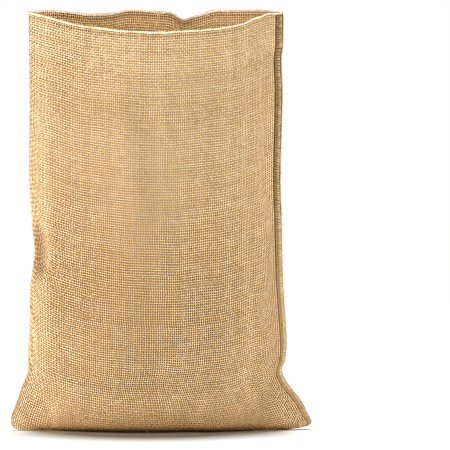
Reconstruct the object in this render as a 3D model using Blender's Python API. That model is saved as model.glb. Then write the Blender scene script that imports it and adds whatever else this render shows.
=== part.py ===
"""A jute burlap sack that stands open on its own base.

The sack is one length of cloth, folded once down its left side and sewn down the right side and
across the bottom. Standing, it has a narrow base that rests flat, two flattened corners that stick
out as ears, a belly above them and an open mouth. Metres, +Z up, the front looks along -Y.

The cloth is a lofted shell. A level is a closed loop: the front panel from the left edge to the
right one, then the back panel on the way back. Short tables give the two edges, the bulge of the
panels, the mouth and the folds, and smooth curves are drawn through their rows.
"""
import math
from collections import namedtuple

import bmesh
import bpy

# Driving sizes
CLOTH_THICKNESS = 0.002
SEAM_STRIP = 0.012            # width of the sewn strip that stands out along the right edge
MID_PLANE = 0.0082            # Y of the plane that holds both side edges
FLOOR_CLOTH = 0.002           # thickness of the cloth under the base
SOFT_JOIN = 0.006             # how softly the belly rises out of the flattened edges
LEAST_JOIN = 0.00001          # the same at the very edge
FOLD_FADE = 0.060             # folds fade out over this share of the half width next to the belly's end
TOP = 0.670                   # above every point of the mouth
LEAST_HOLLOW = 0.0020         # the hollow ends where front and back walls come closer than this
HOLLOW_HEIGHTS = 60           # heights at which the two ends of the hollow are looked for
BUNCHING = 0.008              # the inner points crowd together within this distance of its ends
HOLLOW_START = 0.120          # the search starts this far from the middle
HOLLOW_WALK = 0.0005          # and goes outward in steps of this size
SLOPE_STEP = 0.0015           # step over which the slope of a wall is measured
EAR_CURL = 0.010              # how far the ear tips bend out of the mid plane
EAR_REACH = 0.060             # the width over which they bend
EAR_HEIGHT = 0.100            # the bend fades out up to this height

# Mesh density
ACROSS_PANEL = 34             # steps across one panel
LEVELS_UP = 36                # steps from base to mouth
LEVEL_CROWDING = 1.5          # levels crowd towards the base
EDGE_CROWDING = 0.55          # 0 is even steps across a panel, 1 is steps along a half circle
FIRST_INNER_LEVEL = 2         # the levels below this one have no inner wall

# One side edge, from floor to mouth: height, place in X, width of the flattened strip next to the
# edge, and half thickness of that strip
Edge = namedtuple("Edge", "z x flat half")
LEFT_EDGE = (
    Edge(0.000, -0.2215, 0.046, 0.0022),
    Edge(0.003, -0.2309, 0.054, 0.0022),
    Edge(0.009, -0.2350, 0.058, 0.0022),
    Edge(0.018, -0.2357, 0.056, 0.0022),
    Edge(0.031, -0.2325, 0.046, 0.0022),
    Edge(0.047, -0.2262, 0.034, 0.0022),
    Edge(0.063, -0.2215, 0.024, 0.0022),
    Edge(0.079, -0.2152, 0.013, 0.0022),
    Edge(0.094, -0.2105, 0.005, 0.0042),
    Edge(0.110, -0.2098, 0.001, 0.0060),
    Edge(0.141, -0.2089, 0.000, 0.0085),
    Edge(0.173, -0.2074, 0.000, 0.0090),
    Edge(0.220, -0.2070, 0.000, 0.0085),
    Edge(0.251, -0.2027, 0.000, 0.0075),
    Edge(0.283, -0.1995, 0.000, 0.0070),
    Edge(0.314, -0.2027, 0.000, 0.0080),
    Edge(0.361, -0.2060, 0.000, 0.0090),
    Edge(0.408, -0.2082, 0.000, 0.0095),
    Edge(0.520, -0.2074, 0.000, 0.0095),
    Edge(0.660, -0.2089, 0.000, 0.0090),
)
RIGHT_EDGE = (
    Edge(0.000, 0.1995, 0.044, 0.0022),
    Edge(0.003, 0.2225, 0.064, 0.0022),
    Edge(0.007, 0.2320, 0.070, 0.0022),
    Edge(0.013, 0.2364, 0.071, 0.0022),
    Edge(0.022, 0.2310, 0.063, 0.0022),
    Edge(0.042, 0.2216, 0.050, 0.0022),
    Edge(0.066, 0.2035, 0.029, 0.0022),
    Edge(0.080, 0.1937, 0.018, 0.0022),
    Edge(0.094, 0.1888, 0.0125, 0.0020),
    Edge(0.113, 0.1946, SEAM_STRIP, 0.0020),
    Edge(0.137, 0.1964, SEAM_STRIP, 0.0020),
    Edge(0.171, 0.1948, SEAM_STRIP, 0.0020),
    Edge(0.204, 0.1925, SEAM_STRIP, 0.0020),
    Edge(0.251, 0.1901, SEAM_STRIP, 0.0020),
    Edge(0.338, 0.1885, SEAM_STRIP, 0.0020),
    Edge(0.392, 0.1870, SEAM_STRIP, 0.0020),
    Edge(0.463, 0.1885, SEAM_STRIP, 0.0020),
    Edge(0.533, 0.1901, SEAM_STRIP, 0.0020),
    Edge(0.581, 0.1885, SEAM_STRIP, 0.0020),
    Edge(0.606, 0.1909, SEAM_STRIP, 0.0020),
    Edge(0.660, 0.1917, SEAM_STRIP, 0.0020),
)

# How far the middle of each panel stands from the mid plane, and how full the bulge is: 2 is a
# plain arc, more is boxier
Bulge = namedtuple("Bulge", "z front back fullness")
BULGES = (
    Bulge(0.000, 0.0360, 0.0260, 3.2),
    Bulge(0.004, 0.0465, 0.0355, 3.2),
    Bulge(0.012, 0.0545, 0.0425, 3.1),
    Bulge(0.025, 0.0600, 0.0468, 3.0),
    Bulge(0.050, 0.0655, 0.0525, 2.8),
    Bulge(0.094, 0.0800, 0.0650, 2.5),
    Bulge(0.150, 0.0960, 0.0770, 2.3),
    Bulge(0.220, 0.1035, 0.0835, 2.2),
    Bulge(0.300, 0.1045, 0.0855, 2.15),
    Bulge(0.400, 0.1020, 0.0845, 2.1),
    Bulge(0.500, 0.1000, 0.0825, 2.1),
    Bulge(0.600, 0.0980, 0.0810, 2.1),
    Bulge(0.670, 0.0970, 0.0800, 2.1),
)

# The mouth: its height at places along X. The front sags, the back waves.
Mouth = namedtuple("Mouth", "x z")
FRONT_MOUTH = (
    Mouth(-0.2089, 0.6570),
    Mouth(-0.1635, 0.6419),
    Mouth(-0.1226, 0.6298),
    Mouth(-0.0915, 0.6242),
    Mouth(-0.0447, 0.6185),
    Mouth(-0.0064, 0.6168),
    Mouth(0.0470, 0.6200),
    Mouth(0.0928, 0.6258),
    Mouth(0.1236, 0.6328),
    Mouth(0.1517, 0.6460),
    Mouth(0.1740, 0.6550),
    Mouth(0.1917, 0.6555),
)
BACK_MOUTH = (
    Mouth(-0.2089, 0.6570),
    Mouth(-0.1689, 0.6616),
    Mouth(-0.1410, 0.6602),
    Mouth(-0.1179, 0.6577),
    Mouth(-0.0840, 0.6612),
    Mouth(-0.0507, 0.6677),
    Mouth(-0.0121, 0.6661),
    Mouth(0.0120, 0.6640),
    Mouth(0.0371, 0.6505),
    Mouth(0.0600, 0.6555),
    Mouth(0.0892, 0.6638),
    Mouth(0.1372, 0.6625),
    Mouth(0.1840, 0.6575),
    Mouth(0.1917, 0.6555),
)

# Folds: the line of the crest on the panel as (x, z) points, the half width, and how far the cloth
# stands out at the first and the last point of the line. A minus sign is a valley.
Fold = namedtuple("Fold", "side crest width start end")
FOLDS = (
    # front, left edge: the buckle and the ridge that runs down from it
    Fold("front", ((-0.190, 0.312), (-0.184, 0.262)), 0.011, -0.011, -0.013),
    Fold("front", ((-0.186, 0.375), (-0.171, 0.312), (-0.151, 0.258), (-0.128, 0.236)), 0.013, 0.002, 0.006),
    Fold("front", ((-0.180, 0.240), (-0.166, 0.224)), 0.018, 0.005, 0.003),
    Fold("front", ((-0.191, 0.205), (-0.191, 0.120), (-0.183, 0.060)), 0.012, 0.002, 0.004),
    # front, right edge: two bent ridges and the valley next to the sewn strip
    Fold("front", ((0.1595, 0.360), (0.1735, 0.288), (0.1643, 0.224), (0.1485, 0.180)), 0.010, 0.004, 0.003),
    Fold("front", ((0.1672, 0.600), (0.1640, 0.377)), 0.010, -0.003, -0.005),
    Fold("front", ((0.1520, 0.170), (0.1790, 0.130), (0.1740, 0.088), (0.1640, 0.055)), 0.009, 0.003, 0.005),
    # front, broad swells
    Fold("front", ((-0.110, 0.560), (-0.060, 0.400)), 0.050, 0.003, 0.004),
    Fold("front", ((0.088, 0.600), (0.085, 0.440)), 0.028, -0.003, -0.002),
    Fold("front", ((0.060, 0.330), (0.105, 0.230)), 0.045, -0.004, -0.003),
    Fold("front", ((-0.060, 0.170), (0.020, 0.130)), 0.045, 0.003, -0.002),
    Fold("front", ((0.036, 0.000), (0.050, 0.060)), 0.020, -0.004, 0.000),
    Fold("front", ((-0.115, 0.000), (-0.105, 0.070)), 0.018, -0.003, 0.000),
    # back, at the mouth: the pushed-in fold, the hollow beside it and a small wave
    Fold("back", ((0.058, 0.670), (0.052, 0.560), (0.034, 0.400)), 0.032, -0.036, 0.000),
    Fold("back", ((0.004, 0.670), (0.000, 0.500)), 0.026, 0.011, 0.000),
    Fold("back", ((-0.118, 0.670), (-0.098, 0.500)), 0.020, -0.011, 0.000),
    # back, lower down
    Fold("back", ((-0.188, 0.300), (-0.165, 0.235)), 0.014, -0.008, -0.005),
    Fold("back", ((-0.175, 0.110), (-0.110, 0.210)), 0.018, 0.004, 0.003),
    Fold("back", ((0.160, 0.110), (0.095, 0.235)), 0.018, 0.005, 0.002),
    Fold("back", ((0.030, 0.320), (-0.080, 0.220)), 0.036, -0.006, -0.004),
    Fold("back", ((-0.060, 0.000), (-0.050, 0.060)), 0.020, -0.003, 0.000),
)

JUTE_COLOUR = (0.58, 0.40, 0.21, 1.0)
JUTE_ROUGHNESS = 0.95


def curve_through(points):
    """Return a smooth function through (place, value) points that never overshoots them."""
    places = [place for place, value in points]
    values = [value for place, value in points]
    spans = [b - a for a, b in zip(places, places[1:])]
    slopes = [(b - a) / span for a, b, span in zip(values, values[1:], spans)]
    tangents = [slopes[0]]
    for before, after in zip(slopes, slopes[1:]):
        same_way = before * after > 0.0
        tangents.append(2.0 * before * after / (before + after) if same_way else 0.0)
    tangents.append(slopes[-1])

    def value_at(place):
        if place <= places[0]:
            return values[0]
        if place >= places[-1]:
            return values[-1]
        row = 0
        while places[row + 1] < place:
            row += 1
        span = spans[row]
        t = (place - places[row]) / span
        rise = values[row + 1] - values[row]
        start_pull = tangents[row] * span - rise
        end_pull = rise - tangents[row + 1] * span
        return values[row] + t * rise + t * (1.0 - t) * ((1.0 - t) * start_pull + t * end_pull)

    return value_at


def column(rows, key, name):
    """Return the smooth curve of one named column of a table against another."""
    return curve_through([(getattr(row, key), getattr(row, name)) for row in rows])


LEFT_X = column(LEFT_EDGE, "z", "x")
LEFT_FLAT = column(LEFT_EDGE, "z", "flat")
LEFT_HALF = column(LEFT_EDGE, "z", "half")
RIGHT_X = column(RIGHT_EDGE, "z", "x")
RIGHT_FLAT = column(RIGHT_EDGE, "z", "flat")
RIGHT_HALF = column(RIGHT_EDGE, "z", "half")
FULLNESS = column(BULGES, "z", "fullness")
BULGE = {"front": column(BULGES, "z", "front"), "back": column(BULGES, "z", "back")}
MOUTH = {"front": column(FRONT_MOUTH, "x", "z"), "back": column(BACK_MOUTH, "x", "z")}
OUTWARD = {"front": -1.0, "back": 1.0}


def fold_offset(side, x, z):
    """Add up how far the folds of one panel push the cloth outward at (x, z)."""
    total = 0.0
    for fold in FOLDS:
        if fold.side != side:
            continue
        runs = len(fold.crest) - 1
        nearest = None
        for run in range(runs):
            (ax, az), (bx, bz) = fold.crest[run], fold.crest[run + 1]
            along = ((x - ax) * (bx - ax) + (z - az) * (bz - az)) / ((bx - ax) ** 2 + (bz - az) ** 2)
            along = min(max(along, 0.0), 1.0)
            away = math.hypot(x - ax - along * (bx - ax), z - az - along * (bz - az))
            if nearest is None or away < nearest:
                nearest = away
                share = (run + along) / runs
        rise = fold.start + share * (fold.end - fold.start)
        total += rise * math.exp(-(nearest / fold.width) ** 2)
    return total


def strip_half(from_edge, half):
    """Return the half thickness of the flattened strip: a round nose, then flat."""
    if from_edge >= half:
        return half
    return math.sqrt(max(half * half - (half - from_edge) ** 2, 0.0))


def depth(side, x, z):
    """Return how far the outer face of a panel stands from the mid plane at (x, z)."""
    left = LEFT_X(z)
    right = RIGHT_X(z)
    belly_left = left + LEFT_FLAT(z)
    belly_right = right - RIGHT_FLAT(z)
    middle = (belly_left + belly_right) / 2.0
    across = abs(x - middle) / ((belly_right - belly_left) / 2.0)
    bulge = 0.0
    if across < 1.0:
        bulge = BULGE[side](z) * (1.0 - across ** FULLNESS(z))
        fade = min(1.0, (1.0 - across) / FOLD_FADE)
        bulge = max(bulge + fade * fold_offset(side, x, z), 0.0)
    if x > middle:
        strip = strip_half(right - x, RIGHT_HALF(z))
    else:
        strip = strip_half(x - left, LEFT_HALF(z))
    from_edge = min(x - left, right - x)
    join = min(max(from_edge, LEAST_JOIN), SOFT_JOIN)
    overlap = max(1.0 - abs(bulge - strip) / join, 0.0)
    return max(bulge, strip) + overlap * overlap * join / 4.0


def mid_plane(x, z):
    """Return the Y of the plane between the panels, which curls at the ear tips."""
    low = max(0.0, 1.0 - z / EAR_HEIGHT) ** 2
    out_left = max(0.0, (LEFT_X(z) + EAR_REACH - x) / EAR_REACH)
    out_right = max(0.0, (x - RIGHT_X(z) + EAR_REACH) / EAR_REACH)
    return MID_PLANE + EAR_CURL * low * (out_right ** 2 - out_left ** 2)


def height(side, across, up):
    """Return Z at a share across a panel and a share of the way up to the mouth."""
    mouth_x = LEFT_X(TOP) + across * (RIGHT_X(TOP) - LEFT_X(TOP))
    return up * MOUTH[side](mouth_x)


def wall_slope(side, x, z):
    """Return the length ratio of the sloping wall to its view along Y."""
    step = SLOPE_STEP
    along_x = (depth(side, x + step, z) - depth(side, x - step, z)) / (2.0 * step)
    along_z = (depth(side, x, z + step) - depth(side, x, z - step)) / (2.0 * step)
    return math.sqrt(1.0 + along_x ** 2 + along_z ** 2)


def outer_point(side, across, up):
    """Return a point of the outer face."""
    z = height(side, across, up)
    x = LEFT_X(z) + across * (RIGHT_X(z) - LEFT_X(z))
    return x, mid_plane(x, z) + OUTWARD[side] * depth(side, x, z), z


def hollow_depth(side, x, z):
    """Return how far the inner face of a panel stands from the mid plane."""
    return depth(side, x, z) - CLOTH_THICKNESS * wall_slope(side, x, z)


def hollow_edge(outward):
    """Return the smooth curve, against Z, of where the walls come together on the way to an edge."""
    points = []
    for level in range(HOLLOW_HEIGHTS + 1):
        z = FLOOR_CLOTH + (level / HOLLOW_HEIGHTS) ** LEVEL_CROWDING * (TOP - FLOOR_CLOTH)
        x = outward * HOLLOW_START
        while hollow_depth("front", x, z) + hollow_depth("back", x, z) > LEAST_HOLLOW:
            x += outward * HOLLOW_WALK
        points.append((z, x))
    return curve_through(points)


HOLLOW_LEFT = hollow_edge(-1.0)
HOLLOW_RIGHT = hollow_edge(1.0)


def bunched(inside):
    """Return a distance into the hollow that stays just above zero where there is no hollow."""
    return (inside + math.hypot(inside, BUNCHING)) / 2.0


def inner_point(side, across, up):
    """Return a point of the inner face."""
    z = max(height(side, across, up), FLOOR_CLOTH)
    left = LEFT_X(z)
    right = RIGHT_X(z)
    x = left + across * (right - left)
    if across < 0.5:
        end = HOLLOW_LEFT(z)
        x = end + bunched(x - end) - bunched(left - end)
    else:
        end = HOLLOW_RIGHT(z)
        x = end - bunched(end - x) + bunched(end - right)
    if across in (0.0, 1.0):
        front = hollow_depth("front", x, z)
        back = hollow_depth("back", x, z)
        return x, mid_plane(x, z) + (back - front) / 2.0, z
    return x, mid_plane(x, z) + OUTWARD[side] * hollow_depth(side, x, z), z


def shares_across():
    """Return the shares across a panel, crowded towards its edges."""
    shares = []
    for step in range(ACROSS_PANEL + 1):
        even = step / ACROSS_PANEL
        crowded = (1.0 - math.cos(math.pi * even)) / 2.0
        shares.append(even + EDGE_CROWDING * (crowded - even))
    shares[0] = 0.0
    shares[-1] = 1.0
    return shares


def loop_points(point_at, up):
    """Return one closed loop: the front from left to right, then the back from right to left."""
    shares = shares_across()
    front = [point_at("front", share, up) for share in shares]
    back = [point_at("back", share, up) for share in reversed(shares[1:-1])]
    return front + back


def add_loop(mesh, points):
    """Add a closed loop of edges through the points."""
    verts = [mesh.verts.new(point) for point in points]
    for index, vert in enumerate(verts):
        mesh.edges.new((vert, verts[(index + 1) % len(verts)]))
    return verts


def join_loops(mesh, lower, upper):
    """Fill the band between two loops that have the same number of points."""
    count = len(lower)
    for index in range(count):
        after = (index + 1) % count
        mesh.faces.new((lower[index], lower[after], upper[after], upper[index]))


def close_loop(mesh, loop):
    """Fill a loop with strips from its front half to its back half."""
    count = len(loop)
    for index in range(1, ACROSS_PANEL - 1):
        mesh.faces.new((loop[index], loop[index + 1], loop[count - index - 1], loop[count - index]))
    mesh.faces.new((loop[0], loop[1], loop[count - 1]))
    mesh.faces.new((loop[ACROSS_PANEL - 1], loop[ACROSS_PANEL], loop[ACROSS_PANEL + 1]))


def jute_material():
    """Make the plain jute finish."""
    material = bpy.data.materials.new("jute_cloth")
    material.use_nodes = True
    shader = material.node_tree.nodes["Principled BSDF"]
    shader.inputs["Base Color"].default_value = JUTE_COLOUR
    shader.inputs["Roughness"].default_value = JUTE_ROUGHNESS
    shader.inputs["Metallic"].default_value = 0.0
    return material


def make_sack():
    """Loft the sack up its outer face, over the mouth and down its inner face."""
    levels = [(level / LEVELS_UP) ** LEVEL_CROWDING for level in range(LEVELS_UP + 1)]
    outer = [loop_points(outer_point, up) for up in levels]
    inner = [loop_points(inner_point, up) for up in reversed(levels[FIRST_INNER_LEVEL:])]
    inner.append(loop_points(inner_point, 0.0))
    mesh = bmesh.new()
    loops = [add_loop(mesh, points) for points in outer + inner]
    for lower, upper in zip(loops, loops[1:]):
        join_loops(mesh, lower, upper)
    close_loop(mesh, loops[0])
    close_loop(mesh, loops[-1])
    bmesh.ops.recalc_face_normals(mesh, faces=mesh.faces[:])
    data = bpy.data.meshes.new("sack_cloth")
    mesh.to_mesh(data)
    mesh.free()
    data.materials.append(jute_material())
    data.shade_smooth()
    sack = bpy.data.objects.new("sack_cloth", data)
    bpy.context.scene.collection.objects.link(sack)
    return sack


def main():
    for leftover in list(bpy.data.objects):
        bpy.data.objects.remove(leftover, do_unlink=True)
    make_sack()


main()
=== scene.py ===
import math
from collections import namedtuple

import bmesh
import bpy
import numpy as np
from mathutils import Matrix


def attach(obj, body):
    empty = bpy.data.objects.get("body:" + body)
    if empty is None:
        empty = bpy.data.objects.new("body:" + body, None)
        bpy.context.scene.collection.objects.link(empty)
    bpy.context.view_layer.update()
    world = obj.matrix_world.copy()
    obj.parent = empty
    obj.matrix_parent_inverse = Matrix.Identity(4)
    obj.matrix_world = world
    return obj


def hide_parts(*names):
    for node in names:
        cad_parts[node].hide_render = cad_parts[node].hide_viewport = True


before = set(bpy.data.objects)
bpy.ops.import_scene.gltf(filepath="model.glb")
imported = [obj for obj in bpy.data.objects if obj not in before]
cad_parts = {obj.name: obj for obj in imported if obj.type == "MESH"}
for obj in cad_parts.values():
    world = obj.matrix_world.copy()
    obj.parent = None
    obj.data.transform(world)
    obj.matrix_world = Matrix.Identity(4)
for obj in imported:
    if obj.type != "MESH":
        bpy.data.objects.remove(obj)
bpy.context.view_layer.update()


# the standing shape, the same as the CAD solid's: metres, the front looks along -Y
shape = {
    "stripWidth": 0.0125,       # the sewn strip along the right side, measured on the cloth
    "midPlane": 0.0082,         # Y of the plane through both side edges
    "softJoin": 0.006,          # how softly the belly rises out of the flattened edges
    "foldFade": 0.060,          # folds fade out over this share of the half width at the belly's ends
    "top": 0.670,
    "earCurl": 0.010,
    "earReach": 0.060,
    "earHeight": 0.100,
    "creaseFade": 0.004,        # creases fade out this close to a side edge
    "leastDepth": 0.003,        # and leave the cloth at least this far from the mid plane
    "swells": 14,
    "swellSeed": 5,
    "swellLength": 0.055,
    "swellHeight": 0.00035,
    "backTurn": 2.0,            # sets the back's swells apart from the front's
}

# by height: X of the edge, how wide its flattened part is, and half of that part's thickness
edgeRow = namedtuple("edgeRow", "z x flat half")
leftEdge = [edgeRow(*row) for row in (
    (0.000, -0.2215, 0.046, 0.0022),
    (0.003, -0.2309, 0.054, 0.0022),
    (0.009, -0.2350, 0.058, 0.0022),
    (0.018, -0.2357, 0.056, 0.0022),
    (0.031, -0.2325, 0.046, 0.0022),
    (0.047, -0.2262, 0.034, 0.0022),
    (0.063, -0.2215, 0.024, 0.0022),
    (0.079, -0.2152, 0.013, 0.0022),
    (0.094, -0.2105, 0.005, 0.0042),
    (0.110, -0.2098, 0.001, 0.0060),
    (0.141, -0.2089, 0.000, 0.0085),
    (0.173, -0.2074, 0.000, 0.0090),
    (0.220, -0.2070, 0.000, 0.0085),
    (0.251, -0.2027, 0.000, 0.0075),
    (0.283, -0.1995, 0.000, 0.0070),
    (0.314, -0.2027, 0.000, 0.0080),
    (0.361, -0.2060, 0.000, 0.0090),
    (0.408, -0.2082, 0.000, 0.0095),
    (0.520, -0.2074, 0.000, 0.0095),
    (0.660, -0.2089, 0.000, 0.0090),
)]
rightEdge = [edgeRow(*row) for row in (
    (0.000, 0.1995, 0.0440, 0.0022),
    (0.003, 0.2225, 0.0640, 0.0022),
    (0.007, 0.2320, 0.0700, 0.0022),
    (0.013, 0.2364, 0.0710, 0.0022),
    (0.022, 0.2310, 0.0630, 0.0022),
    (0.042, 0.2216, 0.0500, 0.0022),
    (0.066, 0.2035, 0.0290, 0.0022),
    (0.080, 0.1937, 0.0180, 0.0022),
    (0.094, 0.1888, 0.0125, 0.0020),
    (0.113, 0.1946, 0.0120, 0.0020),
    (0.137, 0.1964, 0.0120, 0.0020),
    (0.171, 0.1948, 0.0120, 0.0020),
    (0.204, 0.1925, 0.0120, 0.0020),
    (0.251, 0.1901, 0.0120, 0.0020),
    (0.338, 0.1885, 0.0120, 0.0020),
    (0.392, 0.1870, 0.0120, 0.0020),
    (0.463, 0.1885, 0.0120, 0.0020),
    (0.533, 0.1901, 0.0120, 0.0020),
    (0.581, 0.1885, 0.0120, 0.0020),
    (0.606, 0.1909, 0.0120, 0.0020),
    (0.660, 0.1917, 0.0120, 0.0020),
)]

# by height: how far the belly stands out at the front and at the back, and how full its curve is
bulgeRow = namedtuple("bulgeRow", "z front back fullness")
bulges = [bulgeRow(*row) for row in (
    (0.000, 0.0360, 0.0260, 3.20),
    (0.004, 0.0465, 0.0355, 3.20),
    (0.012, 0.0545, 0.0425, 3.10),
    (0.025, 0.0600, 0.0468, 3.00),
    (0.050, 0.0655, 0.0525, 2.80),
    (0.094, 0.0800, 0.0650, 2.50),
    (0.150, 0.0960, 0.0770, 2.30),
    (0.220, 0.1035, 0.0835, 2.20),
    (0.300, 0.1045, 0.0855, 2.15),
    (0.400, 0.1020, 0.0845, 2.10),
    (0.500, 0.1000, 0.0825, 2.10),
    (0.600, 0.0980, 0.0810, 2.10),
    (0.670, 0.0970, 0.0800, 2.10),
)]

mouthRow = namedtuple("mouthRow", "x z")
frontMouth = [mouthRow(*row) for row in (
    (-0.2089, 0.6570), (-0.1635, 0.6419), (-0.1226, 0.6298), (-0.0915, 0.6242),
    (-0.0447, 0.6185), (-0.0064, 0.6168), (0.0470, 0.6200), (0.0928, 0.6258),
    (0.1236, 0.6328), (0.1517, 0.6460), (0.1740, 0.6550), (0.1917, 0.6555),
)]
backMouth = [mouthRow(*row) for row in (
    (-0.2089, 0.6570), (-0.1689, 0.6616), (-0.1410, 0.6602), (-0.1179, 0.6577),
    (-0.0840, 0.6612), (-0.0507, 0.6677), (-0.0121, 0.6661), (0.0120, 0.6640),
    (0.0371, 0.6505), (0.0600, 0.6555), (0.0892, 0.6638), (0.1372, 0.6625),
    (0.1840, 0.6575), (0.1917, 0.6555),
)]

# a fold: its crest as (x, z) points, half width, and how far it stands out at its start and end
foldRow = namedtuple("foldRow", "crest width start end")
frontFolds = [foldRow(*row) for row in (
    (((-0.19, 0.312), (-0.184, 0.262)), 0.011, -0.011, -0.013),
    (((-0.186, 0.375), (-0.171, 0.312), (-0.151, 0.258), (-0.128, 0.236)), 0.013, 0.002, 0.006),
    (((-0.18, 0.24), (-0.166, 0.224)), 0.018, 0.005, 0.003),
    (((-0.191, 0.205), (-0.191, 0.12), (-0.183, 0.06)), 0.012, 0.002, 0.004),
    (((0.1595, 0.36), (0.1735, 0.288), (0.1643, 0.224), (0.1485, 0.18)), 0.01, 0.004, 0.003),
    (((0.1672, 0.6), (0.164, 0.377)), 0.01, -0.003, -0.005),
    (((0.152, 0.17), (0.179, 0.13), (0.174, 0.088), (0.164, 0.055)), 0.009, 0.003, 0.005),
    (((-0.11, 0.56), (-0.06, 0.4)), 0.05, 0.003, 0.004),
    (((0.088, 0.6), (0.085, 0.44)), 0.028, -0.003, -0.002),
    (((0.06, 0.33), (0.105, 0.23)), 0.045, -0.004, -0.003),
    (((-0.06, 0.17), (0.02, 0.13)), 0.045, 0.003, -0.002),
    (((0.036, 0.0), (0.05, 0.06)), 0.02, -0.004, 0.0),
    (((-0.115, 0.0), (-0.105, 0.07)), 0.018, -0.003, 0.0),
)]
backFolds = [foldRow(*row) for row in (
    (((0.058, 0.67), (0.052, 0.56), (0.034, 0.4)), 0.032, -0.036, 0.0),
    (((0.004, 0.67), (0.0, 0.5)), 0.026, 0.011, 0.0),
    (((-0.118, 0.67), (-0.098, 0.5)), 0.02, -0.011, 0.0),
    (((-0.188, 0.3), (-0.165, 0.235)), 0.014, -0.008, -0.005),
    (((-0.175, 0.11), (-0.11, 0.21)), 0.018, 0.004, 0.003),
    (((0.16, 0.11), (0.095, 0.235)), 0.018, 0.005, 0.002),
    (((0.03, 0.32), (-0.08, 0.22)), 0.036, -0.006, -0.004),
    (((-0.06, 0.0), (-0.05, 0.06)), 0.02, -0.003, 0.0),
)]

# finer creases, on top of the solid's folds
frontCreases = [foldRow(*row) for row in (
    # left: the dent, a little shallower than the solid's, the ridge beside it, and the band to the ear
    (((-0.195, 0.322), (-0.187, 0.3), (-0.184, 0.272), (-0.188, 0.25), (-0.197, 0.232)),
     0.007, 0.002, 0.0015),
    (((-0.188, 0.35), (-0.177, 0.312), (-0.171, 0.278), (-0.173, 0.256), (-0.184, 0.234)),
     0.0055, 0.002, 0.003),
    (((-0.191, 0.217), (-0.19, 0.141)), 0.0065, 0.0015, 0.002),
    (((-0.204, 0.095), (-0.193, 0.05), (-0.178, 0.012)), 0.0065, 0.002, 0.0025),
    (((-0.19, 0.085), (-0.181, 0.05), (-0.166, 0.012)), 0.006, -0.0015, -0.002),
    (((-0.176, 0.61), (-0.178, 0.45), (-0.174, 0.36)), 0.008, 0.001, 0.0012),
    # middle: soft swells and hollows
    (((-0.03, 0.54), (-0.018, 0.465)), 0.024, -0.003, -0.003),
    (((0.113, 0.6), (0.108, 0.44)), 0.012, 0.003, 0.0025),
    (((0.088, 0.585), (0.088, 0.47)), 0.0035, -0.0012, -0.001),
    (((-0.12, 0.4), (-0.06, 0.33)), 0.02, -0.002, -0.0015),
    (((-0.12, 0.18), (-0.07, 0.09)), 0.022, 0.002, 0.002),
    (((0.02, 0.23), (0.08, 0.17)), 0.02, 0.002, 0.0015),
    (((-0.01, 0.1), (0.01, 0.03)), 0.016, -0.002, -0.0025),
    # right: two bent ridges with a hollow outside each, the hollow at the ear and those at the foot
    (((0.16, 0.355), (0.174, 0.288), (0.165, 0.223), (0.149, 0.183)), 0.005, 0.0018, 0.0015),
    (((0.168, 0.355), (0.179, 0.3), (0.178, 0.275), (0.174, 0.222), (0.158, 0.182)),
     0.005, -0.0035, -0.002),
    (((0.152, 0.168), (0.183, 0.13), (0.177, 0.085), (0.167, 0.052)), 0.005, 0.002, 0.0025),
    (((0.162, 0.17), (0.188, 0.132), (0.186, 0.088), (0.177, 0.05)), 0.005, -0.002, -0.0025),
    (((0.137, 0.07), (0.16, 0.042)), 0.006, -0.0035, -0.003),
    (((0.05, 0.04), (0.045, 0.0)), 0.012, -0.003, -0.003),
    (((0.098, 0.045), (0.102, 0.0)), 0.01, -0.003, -0.003),
    (((0.205, 0.035), (0.168, 0.02)), 0.006, -0.0012, -0.001),
)]
backCreases = [foldRow(*row) for row in (
    (((-0.12, 0.42), (-0.04, 0.3)), 0.02, 0.0025, 0.002),
    (((0.15, 0.33), (0.12, 0.24)), 0.012, -0.0025, -0.002),
    (((0.11, 0.06), (0.095, 0.0)), 0.012, -0.003, -0.002),
    (((-0.11, 0.05), (-0.12, 0.0)), 0.012, -0.003, -0.002),
)]
folds = {"front": frontFolds, "back": backFolds}
creases = {"front": frontCreases, "back": backCreases}


fullTurn = 2.0 * math.pi
upward = np.array([0.0, 0.0, 1.0])


def upToOne(values):
    return np.clip(values, 0.0, 1.0)


def shares(count):  # the ends of so many equal parts of 1
    return np.linspace(0.0, 1.0, count + 1)


def curveThrough(rows, key, name):  # a smooth curve through two columns, which never overshoots
    places = np.array([getattr(row, key) for row in rows])
    values = np.array([getattr(row, name) for row in rows])
    spans = np.diff(places)
    slopes = np.diff(values) / spans
    before, after = slopes[:-1], slopes[1:]
    sameWay = before * after > 0.0
    inner = np.where(sameWay, 2.0 * before * after / np.where(sameWay, before + after, 1.0), 0.0)
    tangents = np.concatenate([slopes[:1], inner, slopes[-1:]])

    def valueAt(place):
        place = np.clip(place, places[0], places[-1])
        row = np.clip(np.searchsorted(places, place, side="right") - 1, 0, len(spans) - 1)
        t = (place - places[row]) / spans[row]
        rise = values[row + 1] - values[row]
        startPull = tangents[row] * spans[row] - rise
        endPull = rise - tangents[row + 1] * spans[row]
        return values[row] + t * rise + t * (1.0 - t) * ((1.0 - t) * startPull + t * endPull)

    return valueAt


leftX, leftFlat, leftHalf = (curveThrough(leftEdge, "z", name) for name in ("x", "flat", "half"))
rightX, rightFlat, rightHalf = (curveThrough(rightEdge, "z", name) for name in ("x", "flat", "half"))
fullness = curveThrough(bulges, "z", "fullness")
bulge = {side: curveThrough(bulges, "z", side) for side in ("front", "back")}
mouth = {"front": curveThrough(frontMouth, "x", "z"), "back": curveThrough(backMouth, "x", "z")}
outward = {"front": -1.0, "back": 1.0}


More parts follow.
